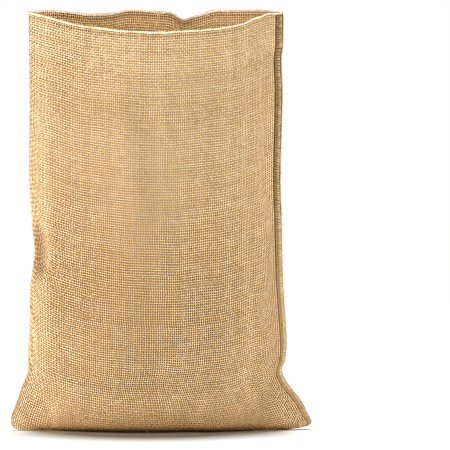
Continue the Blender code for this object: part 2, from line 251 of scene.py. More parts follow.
def foldOffset(rows, x, z):
    total = np.zeros_like(x)
    for fold in rows:
        runs = len(fold.crest) - 1
        nearest = np.full_like(x, np.inf)
        share = np.zeros_like(x)
        for run in range(runs):
            (ax, az), (bx, bz) = fold.crest[run], fold.crest[run + 1]
            along = ((x - ax) * (bx - ax) + (z - az) * (bz - az)) / ((bx - ax) ** 2 + (bz - az) ** 2)
            along = upToOne(along)
            away = np.hypot(x - ax - along * (bx - ax), z - az - along * (bz - az))
            share = np.where(away < nearest, (run + along) / runs, share)
            nearest = np.minimum(away, nearest)
        total += (fold.start + share * (fold.end - fold.start)) * np.exp(-(nearest / fold.width) ** 2)
    return total


swells = np.random.default_rng(shape["swellSeed"]).uniform(-1.0, 1.0, (shape["swells"], 4))


def unevenness(side, x, z):  # low swells all over the cloth
    total = np.zeros_like(x)
    turned = 0.0 if side == "front" else shape["backTurn"]
    for a, b, phase, size in swells:
        turns = a * x / shape["swellLength"] + b * z / shape["swellLength"]
        total += size * np.sin(fullTurn * (turns + phase) + turned)
    return shape["swellHeight"] * total


def stripHalf(fromEdge, half):  # a round nose, then flat
    return np.sqrt(np.maximum(half ** 2 - np.maximum(half - fromEdge, 0.0) ** 2, 0.0))


def depth(side, x, z):  # how far the cloth stands from the mid plane
    left, right = leftX(z), rightX(z)
    bellyLeft, bellyRight = left + leftFlat(z), right - rightFlat(z)
    middle = (bellyLeft + bellyRight) / 2.0
    across = np.abs(x - middle) / ((bellyRight - bellyLeft) / 2.0)
    swell = bulge[side](z) * (1.0 - np.minimum(across, 1.0) ** fullness(z))
    fade = upToOne((1.0 - across) / shape["foldFade"])
    swell = np.maximum(swell + fade * foldOffset(folds[side], x, z), 0.0)
    strip = np.where(x > middle, stripHalf(right - x, rightHalf(z)), stripHalf(x - left, leftHalf(z)))
    join = np.clip(np.minimum(x - left, right - x), 0.00001, shape["softJoin"])
    overlap = np.maximum(1.0 - np.abs(swell - strip) / join, 0.0)
    plain = np.maximum(swell, strip) + overlap ** 2 * join / 4.0
    inside = np.minimum(x - left, right - shape["stripWidth"] - x)
    fade = upToOne(inside / shape["creaseFade"])
    creased = plain + fade * (foldOffset(creases[side], x, z) + unevenness(side, x, z))
    return np.maximum(creased, np.minimum(plain, shape["leastDepth"]))


def midPlane(x, z):  # the ear tips curl out of it
    low = np.maximum(0.0, 1.0 - z / shape["earHeight"]) ** 2
    outLeft = np.maximum(0.0, (leftX(z) + shape["earReach"] - x) / shape["earReach"])
    outRight = np.maximum(0.0, (x - rightX(z) + shape["earReach"]) / shape["earReach"])
    return shape["midPlane"] + shape["earCurl"] * low * (outRight ** 2 - outLeft ** 2)


# at each corner the foot of the cloth runs up to the ear's tip: the share of the cloth's width that
# does so, the tip's height, how the rise bends, and the height over which the columns straighten again
cornerRow = namedtuple("cornerRow", "share tip bend")
leftCorner = cornerRow(0.040, 0.018, 1.75)
rightCorner = cornerRow(0.065, 0.013, 2.60)
cornerBlend = {"height": 0.030, "power": 0.6}


def outerPoints(side, across, up):
    top = shape["top"]
    toLeft = upToOne((leftCorner.share - across) / leftCorner.share)
    toRight = upToOne((across - 1.0 + rightCorner.share) / rightCorner.share)
    lowest = leftCorner.tip * toLeft ** leftCorner.bend + rightCorner.tip * toRight ** rightCorner.bend
    rim = mouth[side](leftX(top) + across * (rightX(top) - leftX(top)))
    z = lowest + up * (rim - lowest)
    flatShare = upToOne((across - leftCorner.share) / (1.0 - leftCorner.share - rightCorner.share))
    blend = np.exp(-((z - lowest) / cornerBlend["height"]) ** cornerBlend["power"])
    share = across + (flatShare - across) * blend
    x = leftX(z) + share * (rightX(z) - leftX(z))
    y = midPlane(x, z) + outward[side] * depth(side, x, z)
    return np.stack([x, y, z], axis=-1)


# the weave: flat jute yarns, one over and one under, each with its own width, height and wander
weave = {
    "seed": 41,
    "warps": 134,               # upright yarns on each panel
    "wefts": 182,               # yarns across, from the seam to the mouth
    "panelWidth": 0.444,
    "panelHeight": 0.690,
    "yarnHalf": 0.335,          # half a yarn's width, as a share of the spacing
    "lowThinning": 0.24,        # yarns are thinner by this share at the bottom, where the cloth is pulled
    "closing": 0.22,            # and wider by this share where the weave is closed
    "widthPlay": 0.16,
    "spacingPlay": 0.08,
    "mostPlay": 2.2,
    "mostSpacingPlay": 2.0,
    "crimp": 0.00050,           # how far a yarn rises over and dips under
    "roof": 0.00048,            # how far its middle stands above its sides
    "roofPlay": 0.28,
    "depth": 0.00100,           # the yarns' middle lies this far inside the sack's outer face
    "underside": 0.85,          # the height of a yarn's inner half, as a share of its outer one's
    # painted light on the yarns: 1 is fully lit, and less is painted shade
    "ridgeLight": 0.62,         # painted light along a yarn's ridge, between two crossings
    "crestLight": 0.38,         # what a crest adds to it, and a dip takes away
    "sideLight": 0.34,
    "closedShadeShare": 0.45,       # the share of the painted shade that is left where the weave is closed
    "weld": 0.000002,           # closes a yarn's pointed ends and the seam along it
}

# painted shade: the foot is darker between the two ears, and darkest, a painted shadow, where it meets the
# floor
shadeRow = namedtuple("shadeRow", "shade height halfWidth")
footShades = (shadeRow(0.70, 0.042, 0.190), shadeRow(0.98, 0.0095, 0.228))
footFade = 0.035

# painted shade in the dent in the left fold
dent = {
    "place": (-0.1935, 0.278),
    "half": (0.0145, 0.044),
    "shade": 0.66,
    "edgePower": 4,             # a higher power gives the shade a firmer edge
    "frontTo": 0.014,
    "fade": 0.020,
}

# how open the weave is, and so how thin its yarns and how deep the painted shade in its hollows: by height
# from the seam, and across from the left
opennessUp = (
    (0.00, 0.15), (0.10, 0.15), (0.15, 0.55), (0.20, 0.90), (0.28, 0.95), (0.34, 1.12), (0.46, 1.12),
    (0.54, 0.95), (0.66, 0.78), (0.85, 0.64), (0.94, 0.45), (0.98, 0.35), (0.988, 0.80), (1.00, 0.80),
)
opennessAcross = (
    (0.00, 0.62), (0.05, 0.55), (0.09, 0.62), (0.15, 1.15), (0.40, 1.20),
    (0.60, 1.00), (0.78, 0.95), (0.88, 0.70), (0.95, 0.70), (1.00, 0.80),
)
insideMouth = {"upFrom": 0.90, "upTo": 0.93, "more": 1.9}               # the back is more open there, with deeper painted shade in its hollows
ears = {"open": 1.15, "reach": 0.17, "fade": 0.07, "below": 0.5}        # they are open down to the foot


def openness(side, u, up):
    byHeight = np.interp(up, *np.array(opennessUp).T)
    inEar = upToOne((ears["reach"] - np.minimum(u, 1.0 - u)) / ears["fade"])
    byHeight = np.maximum(byHeight, ears["open"] * inEar * (up < ears["below"]))
    if side == "back":
        span = (insideMouth["upFrom"], insideMouth["upTo"])
        byHeight = byHeight * np.interp(up, span, (1.0, insideMouth["more"]))
    return byHeight * np.interp(u, *np.array(opennessAcross).T)


# The cloth is mapped by lengths along itself. Round the sack it runs from the strip, over the front,
# round the left fold and over the back to the strip again. Upwards it starts at the seam under the base.
cloth = {
    "acrossSteps": 220,         # columns of the map on each panel
    "upSteps": 300,             # rows of the map
    "finePoints": 700,          # points that measure one row
    "evenShare": 0.35,          # the share of their spacing that is even; the rest crowds to the edges
    "fineLevels": 260,
    "levelCrowding": 1.5,
    "baseSteps": 16,
    "tuckSteps": 8,
    "baseReach": 0.056,         # cloth between the foot and the seam, and so the drop of the yarns' lines
    "cornerFade": 0.053,        # it grows to that within about this distance of a corner
    "floorGap": 0.0001,
}


def unit(vectors):
    tiny = 1e-12
    return vectors / np.maximum(np.linalg.norm(vectors, axis=-1, keepdims=True), tiny)


def lengthsAlong(points, axis):
    steps = np.linalg.norm(np.diff(points, axis=axis), axis=-1)
    start = np.zeros_like(np.take(steps, [0], axis=axis))
    return np.concatenate([start, np.cumsum(steps, axis=axis)], axis=axis)


def resampled(points, lengths, wanted):  # one line of points, read off at other lengths
    return np.stack([np.interp(wanted, lengths, points[:, axis]) for axis in range(3)], axis=-1)


# distances in from the right edge, at which the strip is measured
stripPlaces = np.array([
    0.0, 0.0006, 0.0014, 0.0026, 0.0045, 0.0065, 0.0085, 0.0102, 0.0113, 0.0120, 0.0127, 0.0145,
])


def panelRows(side):  # rows of the panel at equal lengths from the left fold, and rows of its strip
    fine = (1.0 - np.cos(np.linspace(0.0, math.pi, cloth["finePoints"]))) / 2.0
    even = cloth["evenShare"]
    fine = even * np.linspace(0.0, 1.0, cloth["finePoints"]) + (1.0 - even) * fine
    panel, strip = [], []
    for up in shares(cloth["fineLevels"]) ** cloth["levelCrowding"]:
        points = outerPoints(side, fine, np.full_like(fine, up))
        lengths = lengthsAlong(points, 0)
        edge = lengths[-1] - shape["stripWidth"]
        panel.append(resampled(points, lengths, edge * shares(cloth["acrossSteps"])))
        strip.append(resampled(points, lengths, lengths[-1] - stripPlaces))
    return np.array(panel), np.array(strip)


def withBase(rows):
    # adds the part under the base, from the seam to the foot. Near the corners that part is longer than
    # the base is deep, and what is left over stands tucked up inside.
    footLine = rows[0]
    seam = footLine.copy()
    seam[:, 1] = midPlane(footLine[:, 0], footLine[:, 2])
    around = lengthsAlong(footLine, 0)
    fromCorner = np.minimum(np.minimum(around, around[-1] - around), np.abs(around - around[-1] / 2.0))
    reach = cloth["baseReach"] * (1.0 - np.exp(-fromCorner / cloth["cornerFade"]))
    tuck = np.maximum(reach - np.linalg.norm(footLine - seam, axis=-1), 0.0)
    inside = np.sign(seam[:, 1] - footLine[:, 1]) * weave["depth"]
    flap = []
    for share in 1.0 - shares(cloth["tuckSteps"])[:-1]:
        z = seam[:, 2] + share * tuck
        flap.append(np.stack([seam[:, 0], midPlane(seam[:, 0], z) + inside, z], axis=-1))
    baseShares = shares(cloth["baseSteps"])[:-1, None, None]
    return np.concatenate([np.array(flap), seam + baseShares * (footLine - seam), rows])


def evenUp(rows):  # the rows at equal lengths from the seam
    lengths = lengthsAlong(rows, 0)
    columns = []
    for column in range(rows.shape[1]):
        wanted = lengths[-1, column] * shares(cloth["upSteps"])
        columns.append(resampled(rows[:, column], lengths[:, column], wanted))
    return np.stack(columns, axis=1), lengths[-1]


def normalsOf(points):  # outward, when columns run from the right over the front to the left
    return unit(np.cross(np.gradient(points, axis=0), np.gradient(points, axis=1)))


def softened(table, rounds):  # evens out a table of directions
    for _ in range(rounds):
        padded = np.pad(table, ((1, 1), (1, 1), (0, 0)), mode="edge")
        round_ = padded[:-2, 1:-1] + padded[2:, 1:-1] + padded[1:-1, :-2] + padded[1:-1, 2:]
        table = (round_ + 2.0 * table) / 6.0
    return unit(table)


frontRows, frontStrip = panelRows("front")
backRows, backStrip = panelRows("back")
ringRows = np.concatenate([frontRows[:, ::-1], backRows[:, 1:]], axis=1)
clothPoints, columnLengths = evenUp(withBase(ringRows))
clothNormals = softened(normalsOf(clothPoints), 2)
print("cloth map: height %.3f to %.3f m" % (columnLengths.min(), columnLengths.max()))


def readOff(table, column, row):  # between the entries of a table of points
    oneStep = 1.000001                                  # a hair more, so that a next entry is there
    column = np.clip(column, 0.0, table.shape[1] - oneStep)
    row = np.clip(row, 0.0, table.shape[0] - oneStep)
    c, r = column.astype(int), row.astype(int)
    fc, fr = (column - c)[..., None], (row - r)[..., None]
    low = table[r, c] * (1.0 - fc) + table[r, c + 1] * fc
    high = table[r + 1, c] * (1.0 - fc) + table[r + 1, c + 1] * fc
    return low * (1.0 - fr) + high * fr


def aboveFloor(points):
    points[..., 2] = np.maximum(points[..., 2], cloth["floorGap"])
    return points


weaveDice = np.random.default_rng(weave["seed"])


def unevenPlaces(count):  # shares of a length, one for each yarn
    most = weave["mostSpacingPlay"]
    gaps = 1.0 + weave["spacingPlay"] * weaveDice.standard_normal(count + 1).clip(-most, most)
    gaps[0] /= 2.0
    gaps[-1] /= 2.0
    return np.cumsum(gaps)[:-1] / gaps.sum()


def crimpShape(threads, crossings, first):  # +1 over, -1 under, 0 at the two ends
    thread = np.arange(threads)[:, None]
    crossing = np.arange(crossings)[None, :]
    return np.pad(1.0 - 2.0 * ((thread + crossing + first) % 2), ((0, 0), (1, 1)))


def yarnNoise(threads, places, spacing):  # slow random play along each yarn
    knots = int(1.0 / spacing) + 3
    most = weave["mostPlay"]
    values = weaveDice.standard_normal((threads, knots)).clip(-most, most)
    at = places / spacing
    knot = at.astype(int)
    t = at - knot
    t = t * t * (3.0 - 2.0 * t)
    return values[:, knot] * (1.0 - t) + values[:, knot + 1] * t


# the whole weave drifts a little, in soft waves
drift = {
    "size": 0.0007,
    "waves": 10,
    "acrossTurns": (1.0, 4.5),  # turns over a panel: at least, and what chance adds to them
    "upTurns": (1.0, 8.0),
    "steady": 0.5,              # what each wave has of its size before chance adds the rest
    "still": 12.0,              # it fades out over the last of so many parts at the edges
}
waves = weaveDice.uniform(0.0, 1.0, (drift["waves"], 4))


def wander(around, up, row):  # every second wave, from row on
    total = np.zeros_like(around)
    for a, b, phase, size in waves[row::2]:
        acrossTurns = drift["acrossTurns"][0] + drift["acrossTurns"][1] * a
        upTurns = drift["upTurns"][0] + drift["upTurns"][1] * b
        turns = acrossTurns * around + upTurns * up
        total += (drift["steady"] + size) * np.sin(fullTurn * (turns + phase))
    return drift["size"] * total / (drift["waves"] / 2.0)


def onCloth(around, up, rise):
    below = upToOne((1.0 - up) * drift["still"])
    inside = upToOne(np.minimum(around, 2.0 - around) * drift["still"])
    movedUp = up + wander(around, up, 0) / weave["panelHeight"] * below
    movedAround = around + wander(around, up, 1) / weave["panelWidth"] * inside
    column, row = movedAround * cloth["acrossSteps"], movedUp * cloth["upSteps"]
    normals = readOff(clothNormals, column, row)
    return aboveFloor(readOff(clothPoints, column, row) + normals * (rise - weave["depth"])[..., None])


def meshOf(name, points, uvs, alongX=False, ring=0, weld=0.0, **values):
    # points, uvs and values are tables [row, column]. A grid gives the faces, and a column's rows follow
    # one another along Y, or along X. Where columns stand in rings of so many, each ring is a yarn, and
    # the faces between two yarns go.
    rows, columns = points.shape[:2]
    columnAxis, rowAxis = (1, 0) if alongX else (0, 1)
    segments = (rows - 1, columns - 1) if alongX else (columns - 1, rows - 1)
    builder = bmesh.new()
    bmesh.ops.create_grid(builder, x_segments=segments[0], y_segments=segments[1], size=0.5)
    if ring:
        gaps = []
        for face in builder.faces:
            column = int((face.calc_center_median()[columnAxis] + 0.5) * (columns - 1))
            if column % ring == ring - 1:
                gaps.append(face)
        bmesh.ops.delete(builder, geom=gaps, context="FACES_ONLY")
    data = bpy.data.meshes.new(name)
    builder.to_mesh(data)
    places = np.empty(len(data.vertices) * 3, dtype=np.float32)
    data.vertices.foreach_get("co", places)
    places = places.reshape(-1, 3)
    column = np.rint((places[:, columnAxis] + 0.5) * (columns - 1)).astype(int)
    row = np.rint((places[:, rowAxis] + 0.5) * (rows - 1)).astype(int)
    data.vertices.foreach_set("co", points[row, column].astype(np.float32).ravel())
    corner = np.empty(len(data.loops), dtype=np.int32)
    data.loops.foreach_get("vertex_index", corner)
    layer = data.uv_layers.new(name="OFBake")
    layer.data.foreach_set("uv", uvs[row, column][corner].astype(np.float32).ravel())
    for key, table in values.items():
        attribute = data.attributes.new(key, "FLOAT", "POINT")
        attribute.data.foreach_set("value", table[row, column].astype(np.float32).ravel())
    builder.clear()
    builder.from_mesh(data)
    if weld:
        bmesh.ops.remove_doubles(builder, verts=builder.verts[:], dist=weld)
    builder.to_mesh(data)
    builder.free()
    data.shade_smooth()
    return data


# round a yarn: left side, top, right side, underside and the left side again
ringSide = np.array([-1.0, 0.0, 1.0, 0.0, -1.0])[None, :, None]
ringRise = np.array([0.0, 1.0, 0.0, -weave["underside"], 0.0])[None, :, None]
ringUv = np.array([-0.46, -0.23, 0.0, 0.23, 0.46])[None, :, None]


def yarnMesh(name, alongX, *tables):  # points, uvs and painted light are [thread, place round the yarn, row]
    points, uvs, relief = (table.reshape(-1, *table.shape[2:]).swapaxes(0, 1) for table in tables)
    return meshOf(name, points, uvs, alongX, ringSide.size, weave["weld"], relief=relief)


def closedEnds(thick):  # yarns end in a point
    thick[..., 0] = 0.0
    thick[..., -1] = 0.0
    return thick


def reliefOf(over, open_):  # painted light: 1 on a crest, and painted shade on a yarn's sides and where it dips
    facing = np.sign(ringRise)
    ridge = weave["ridgeLight"] + weave["crestLight"] * over * facing
    relief = np.where(facing == 0.0, weave["sideLight"], ridge)
    closed = weave["closedShadeShare"]
    return 1.0 - (1.0 - relief) * (closed + (1.0 - closed) * open_)


def footAndDentPaintedShade(points):  # painted shade: the cloth darkens towards the foot, and in the dent
    x, y, z = points[..., 0], points[..., 1], points[..., 2]
    light = 1.0
    for row in footShades:
        between = upToOne((row.halfWidth - np.abs(x)) / footFade)
        light = light * (1.0 - row.shade * between * np.exp(-(z / row.height) ** 2))
    acrossDent = (x - dent["place"][0]) / dent["half"][0]
    upDent = (z - dent["place"][1]) / dent["half"][1]
    inDent = np.exp(-np.hypot(acrossDent, upDent) ** dent["edgePower"])
    inFront = upToOne((dent["frontTo"] - y) / dent["fade"])
    return light * (1.0 - dent["shade"] * inDent * inFront)


def placed(name, data, material):
    data.materials.append(material)
    piece = bpy.data.objects.new(name, data)
    bpy.context.scene.collection.objects.link(piece)
    return piece


# a node graph is built left to right by small helpers
def freshMaterial(name):
    material = bpy.data.materials.new(name)
    material.use_nodes = True
    return material, material.node_tree


def addNode(tree, kind, **settings):
    node = tree.nodes.new(kind)
    for key, value in settings.items():
        setattr(node, key, value)
    return node


def feed(tree, socket, value):
    if hasattr(value, "links"):
        tree.links.new(value, socket)
    else:
        socket.default_value = value


def maths(tree, operation, first, second=0.0):
    node = addNode(tree, "ShaderNodeMath", operation=operation)
    feed(tree, node.inputs[0], first)
    feed(tree, node.inputs[1], second)
    return node.outputs[0]


def product(tree, first, second):
    return maths(tree, "MULTIPLY", first, second)


def summed(tree, first, *more):
    for value in more:
        first = maths(tree, "ADD", first, value)
    return first


def blended(tree, factor, first, second):
    node = addNode(tree, "ShaderNodeMix", data_type="RGBA")
    feed(tree, node.inputs["Factor"], factor)
    feed(tree, node.inputs["A"], first)
    feed(tree, node.inputs["B"], second)
    return node.outputs["Result"]


def spread(tree, value, span, low=0.0, high=1.0):  # the span becomes low to high, and the rest is cut off
    node = addNode(tree, "ShaderNodeMapRange", clamp=True)
    for socket, entry in zip(node.inputs, (value, *span, low, high)):
        feed(tree, socket, entry)
    return node.outputs["Result"]


def noise(tree, vector, scale, detail=2.0, roughness=0.6):
    node = addNode(tree, "ShaderNodeTexNoise")
    feed(tree, node.inputs["Vector"], vector)
    feed(tree, node.inputs["Scale"], scale)
    feed(tree, node.inputs["Detail"], detail)
    feed(tree, node.inputs["Roughness"], roughness)
    return node.outputs["Fac"]


def joined(tree, x, y):
    node = addNode(tree, "ShaderNodeCombineXYZ")
    feed(tree, node.inputs[0], x)
    feed(tree, node.inputs[1], y)
    return node.outputs[0]


def ownMap(tree):  # the two directions of the piece's map
    parts = addNode(tree, "ShaderNodeSeparateXYZ")
    feed(tree, parts.inputs[0], addNode(tree, "ShaderNodeUVMap", uv_map="OFBake").outputs["UV"])
    return parts.outputs[0], parts.outputs[1]


def attributeOf(tree, name):
    return addNode(tree, "ShaderNodeAttribute", attribute_name=name).outputs["Fac"]


def surface(tree, colour, look, height=None):  # look is a dictionary with roughness, specular and bump
    shader = tree.nodes["Principled BSDF"]
    feed(tree, shader.inputs["Base Color"], colour)
    shader.inputs["Roughness"].default_value = look["roughness"]
    shader.inputs["Specular IOR Level"].default_value = look["specular"]
    if height is not None:
        bump = addNode(tree, "ShaderNodeBump")
        feed(tree, bump.inputs["Height"], height)
        bump.inputs["Strength"].default_value = look["bump"][0]
        bump.inputs["Distance"].default_value = look["bump"][1]
        feed(tree, shader.inputs["Normal"], bump.outputs["Normal"])


jute = {
    "footShadow": (0.030, 0.015, 0.005, 1.0),    # painted shadow at the lowest edge of the foot
    "deep": (0.175, 0.068, 0.008, 1.0),      # painted shade in the hollows between yarns
    "dark": (0.430, 0.252, 0.090, 1.0),
    "middle": (0.782, 0.558, 0.310, 1.0),
    "pale": (0.955, 0.822, 0.640, 1.0),
    "hollowsUpTo": 0.85,                     # painted light below which a yarn darkens with painted shade
    "footShadowUpTo": 0.14,
    "threadWeight": 0.11,                    # a tone of the yarn's own, slubs along it, and fine fibres
    "slubWeight": 0.44,
    "fibreWeight": 0.45,
    "slubScale": 110.0,                      # to the metre
    "fibreScale": (5.0, 90.0),               # across a yarn, and to the metre along it
    "yarnsApart": 7.31,                      # each yarn reads another part of the pattern
    "darkSpan": (0.25, 0.50),
    "paleSpan": (0.50, 0.75),
    "roughness": 0.88,
    "specular": 0.08,
    "bump": (0.5, 0.0004),
}


def juteYarn(name, upright, threads, length, seed):
    material, tree = freshMaterial(name)
    x, y = ownMap(tree)
    across = product(tree, x if upright else y, float(threads))
    along = product(tree, y if upright else x, length)
    thread = maths(tree, "FLOOR", across)
    tone = addNode(tree, "ShaderNodeTexWhiteNoise", noise_dimensions="1D")
    feed(tree, tone.inputs["W"], maths(tree, "ADD", thread, seed))
    slub = noise(tree, joined(tree, product(tree, thread, jute["yarnsApart"]), along), jute["slubScale"])
    fineAcross = product(tree, across, jute["fibreScale"][0])
    fineAlong = product(tree, along, jute["fibreScale"][1])
    fibre = noise(tree, joined(tree, fineAcross, fineAlong), 1.0)
    own = product(tree, tone.outputs["Value"], jute["threadWeight"])
    slubs = product(tree, slub, jute["slubWeight"])
    mixed = summed(tree, own, slubs, product(tree, fibre, jute["fibreWeight"]))
    colour = blended(tree, spread(tree, mixed, jute["darkSpan"]), jute["dark"], jute["middle"])
    colour = blended(tree, spread(tree, mixed, jute["paleSpan"]), colour, jute["pale"])
    # painted shade in the hollows and on the yarns' sides, and painted shadow at the foot
    relief = attributeOf(tree, "relief")
    colour = blended(tree, spread(tree, relief, (0.0, jute["hollowsUpTo"])), jute["deep"], colour)
    colour = blended(tree, spread(tree, relief, (0.0, jute["footShadowUpTo"])), jute["footShadow"], colour)
    surface(tree, colour, jute, fibre)
    return material


# the two layers of yarns: a yarn's length, the shares of it over which its width and its height
# change, and the seeds of its tones
layerRow = namedtuple("layerRow", "length widthSlow roofSlow frontSeed backSeed")
layers = {
    "warp": layerRow(weave["panelHeight"], 0.009, 0.015, 3.0, 400.0),
    "weft": layerRow(weave["panelWidth"], 0.014, 0.020, 800.0, 1200.0),
}
# yarns across go a little round the fold: where they start and end, and their map, in warp spacings
pastFold = {"start": -1.4, "next": -0.5, "end": 0.4, "mapFrom": 2.0, "mapLonger": 3.0}


def makeYarns(kind, side, warpPlaces, weftPlaces):
    layer, upright, front = layers[kind], kind == "warp", side == "front"
    step = 1.0 / weave["warps"]
    if upright:
        middles, lead = warpPlaces, 0.0
        stops = np.concatenate([[0.0], weftPlaces, [1.0]])
    else:
        middles, lead = weftPlaces, pastFold["mapFrom"] * step
        before = [pastFold["start"] * step, pastFold["next"] * step]
        stops = np.concatenate([before, warpPlaces, [1.0 + pastFold["end"] * step]])
    count = len(middles)
    widths = 1.0 + weave["widthPlay"] * yarnNoise(count, stops + lead, layer.widthSlow)
    roofs = 1.0 + weave["roofPlay"] * yarnNoise(count, stops + lead, layer.roofSlow)
    u, up = (middles[:, None], stops[None, :]) if upright else (stops[None, :], middles[:, None])
    open_ = openness(side, upToOne(u), up)
    half = weave["yarnHalf"] / count * widths
    half = half * (1.0 - weave["lowThinning"] * (1.0 - up)) * (1.0 + weave["closing"] * (1.0 - open_))
    half = closedEnds(half)[:, None]
    roof = closedEnds(weave["roof"] * roofs)[:, None]
    over = crimpShape(count, len(stops) - 2, 0 if front else 1)[:, None]
    middle = middles[:, None, None]
    place = middle + ringSide * half
    stop = np.broadcast_to(stops[None, None, :], place.shape)
    u, up = (place, stop) if upright else (stop, place)          # u is counted from the left fold
    points = onCloth(1.0 - u if front else 1.0 + u, up, weave["crimp"] * over + roof * ringRise)
    # painted shade of the weave, the foot and the dent
    relief = reliefOf(over, open_[:, None]) * footAndDentPaintedShade(points)
    mapped = np.broadcast_to(middle + ringUv / count, place.shape)
    across, along = mapped, up
    if not upright:
        across, along = (u + lead) / (1.0 + pastFold["mapLonger"] * step), mapped
    uvs = np.stack([across if front else 1.0 - across, along], axis=-1)
    if not front:                                                # turned, so that its faces look outward
        turned = (0, 1) if upright else 2
        points, uvs, relief = np.flip(points, turned), np.flip(uvs, turned), np.flip(relief, turned)
    seed = layer.frontSeed if front else layer.backSeed
    material = juteYarn("jute_%s_%s" % (kind, side), upright, count, layer.length, seed)
    name = kind + "_" + side
    return placed(name, yarnMesh(name, not upright, points, uvs, relief), material)


weftPlaces = unevenPlaces(weave["wefts"])
warpPlaces, warps, wefts = {}, [], []
for side in ("front", "back"):
    warpPlaces[side] = unevenPlaces(weave["warps"])
    warps.append(makeYarns("warp", side, warpPlaces[side], weftPlaces))
    wefts.append(makeYarns("weft", side, warpPlaces[side], weftPlaces))
    print("woven panel:", side)


# fibres that stand out of the yarns close the holes: a sheet in the middle of the cloth, as pale as the
# yarns round each hole, with painted shade in the middle of each hole
ground = {
    "holeShadeColour": (0.052, 0.017, 0.001, 1.0),
    "fibreColour": (0.440, 0.258, 0.092, 1.0),
    "holeSpan": (0.22, 0.30),   # distances from a yarn's middle at which a hole's painted shade starts and is full
    "hairiness": 0.65,          # stray fibres lighten some of the holes
    "hairScale": 260.0,
    "hairSpan": (0.45, 0.75),
    "leastHole": 0.15,
    "roughness": 0.95,
    "specular": 0.02,
}


def threadUv(count):  # yarns have even places in the map: yarn number k is at (k + 0.5) / count
    return np.concatenate([[0.0], (np.arange(count) + 0.5) / count, [1.0]])


def makeGround(side, warpPlaces, material):
    ends = np.concatenate([[0.0], warpPlaces, [1.0]])
    up, u = np.meshgrid(np.concatenate([[0.0], weftPlaces, [1.0]]), ends, indexing="ij")
    threadUp, threadAcross = np.meshgrid(threadUv(weave["wefts"]), threadUv(weave["warps"]), indexing="ij")
    front = side == "front"
    points = onCloth(1.0 - u if front else 1.0 + u, up, np.zeros_like(u))
    uvs = np.stack([threadAcross if front else 1.0 - threadAcross, threadUp], axis=-1)
    tone = openness(side, u, up)
    if not front:
        points, uvs, tone = np.flip(points, 1), np.flip(uvs, 1), np.flip(tone, 1)
    return placed("ground_" + side, meshOf("ground_" + side, points, uvs, tone=tone), material)


def groundMaterial():
    material, tree = freshMaterial("fibre_and_painted_hole_shade")
    x, y = ownMap(tree)
    # painted shade in the middle of each hole, lightened by stray fibres and where the weave is closed
    hole = 1.0
    for place, count in ((x, weave["warps"]), (y, weave["wefts"])):
        inYarn = maths(tree, "FRACT", product(tree, place, float(count)))
        away = maths(tree, "ABSOLUTE", maths(tree, "SUBTRACT", inYarn, 0.5))
        hole = product(tree, spread(tree, away, ground["holeSpan"]), hole)
    patches = noise(tree, joined(tree, x, y), ground["hairScale"])
    hairs = spread(tree, patches, ground["hairSpan"], 0.0, ground["hairiness"])
    hole = product(tree, hole, maths(tree, "SUBTRACT", 1.0, hairs))
    hole = product(tree, hole, spread(tree, attributeOf(tree, "tone"), (0.0, 1.0), ground["leastHole"]))
    surface(tree, blended(tree, hole, ground["fibreColour"], ground["holeShadeColour"]), ground)
    return material


fibreAndHoleShade = groundMaterial()
grounds = [makeGround(side, warpPlaces[side], fibreAndHoleShade) for side in ("front", "back")]
print("fibre ground")

# the yarns' own flat area is that of the panel, less the gaps between them
yarnCover = 2.0 * weave["yarnHalf"] * (1.0 - weave["lowThinning"] / 2.0)
for pieces, cover in ((warps, yarnCover), (wefts, yarnCover), (grounds, 1.0)):
    for piece in pieces:
        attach(piece, "root")
        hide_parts("sack_cloth")


def gridUvs(rows, columns):
    up, across = np.meshgrid(shares(rows - 1), shares(columns - 1), indexing="ij")
    return np.stack([across, up], axis=-1)


def tubeMesh(name, path, ways, radii, sides, flatten=1.0, start=0.0):  # a closed tube along a path
    level = unit(np.cross(ways, upward))
    upright = np.cross(level, ways)
    turn = start + fullTurn * shares(sides)[None, :, None]
    out = np.cos(turn) * level[:, None] * flatten + np.sin(turn) * upright[:, None]
    rings = aboveFloor(path[:, None] + radii[:, None, None] * out)
    return meshOf(name, rings, gridUvs(*rings.shape[:2]), weld=0.00001)


# the sewn strip: the two seam allowances pressed together, from the corner of the base to the mouth
sideStrip = {
    "seed": 7,
    "rows": 420,
    "lift": 0.00040,            # how far it stands out over the sack's outer face
    "groove": 0.0016,           # how deep it dips at the seam
    "wobble": 0.00035,
    "wobbleRows": 4,            # rows from one chance height to the next
    "wobbleUpTo": 0.011,        # distance in from the edge
    "mostWobble": 2.0,
    "colour": (0.190, 0.116, 0.042, 1.0),
    "darkColour": (0.040, 0.022, 0.006, 1.0),
    "paleColour": (0.560, 0.420, 0.270, 1.0),
    "grooveShade": (0.120, 0.064, 0.024, 1.0),
    "lowColour": (0.420, 0.275, 0.135, 1.0),    # it is paler in its lower part
    "lowSpan": (0.30, 0.60),
    "lowShare": 0.8,
    "lowGroove": 0.45,          # the share of the groove's painted shade that is left down there
    "width": 29.0,              # round both faces, in millimetres, as the pitches below
    "ribPitch": 3.6,
    "columnPitch": 3.2,
    "ribTone": 0.14,
    "speckle": (0.45, 3.0),     # scale and detail
    "darkSpan": (0.30, 0.62),
    "paleSpan": (0.58, 0.80),
    "edgeSpan": (0.07, 0.02),   # distances from the edge, in the map, over which the cloth grows pale
    "edgeShare": 0.8,
    # and those over which it darkens into the groove, a painted shade broken by patches
    "grooveSpan": (0.33, 0.38),
    "brokenScale": 0.55,
    "brokenSpan": (0.35, 0.55),
    "leastBroken": 0.35,
    "roughness": 0.9,
    "specular": 0.2,
    "bump": (0.8, 0.0008),
}
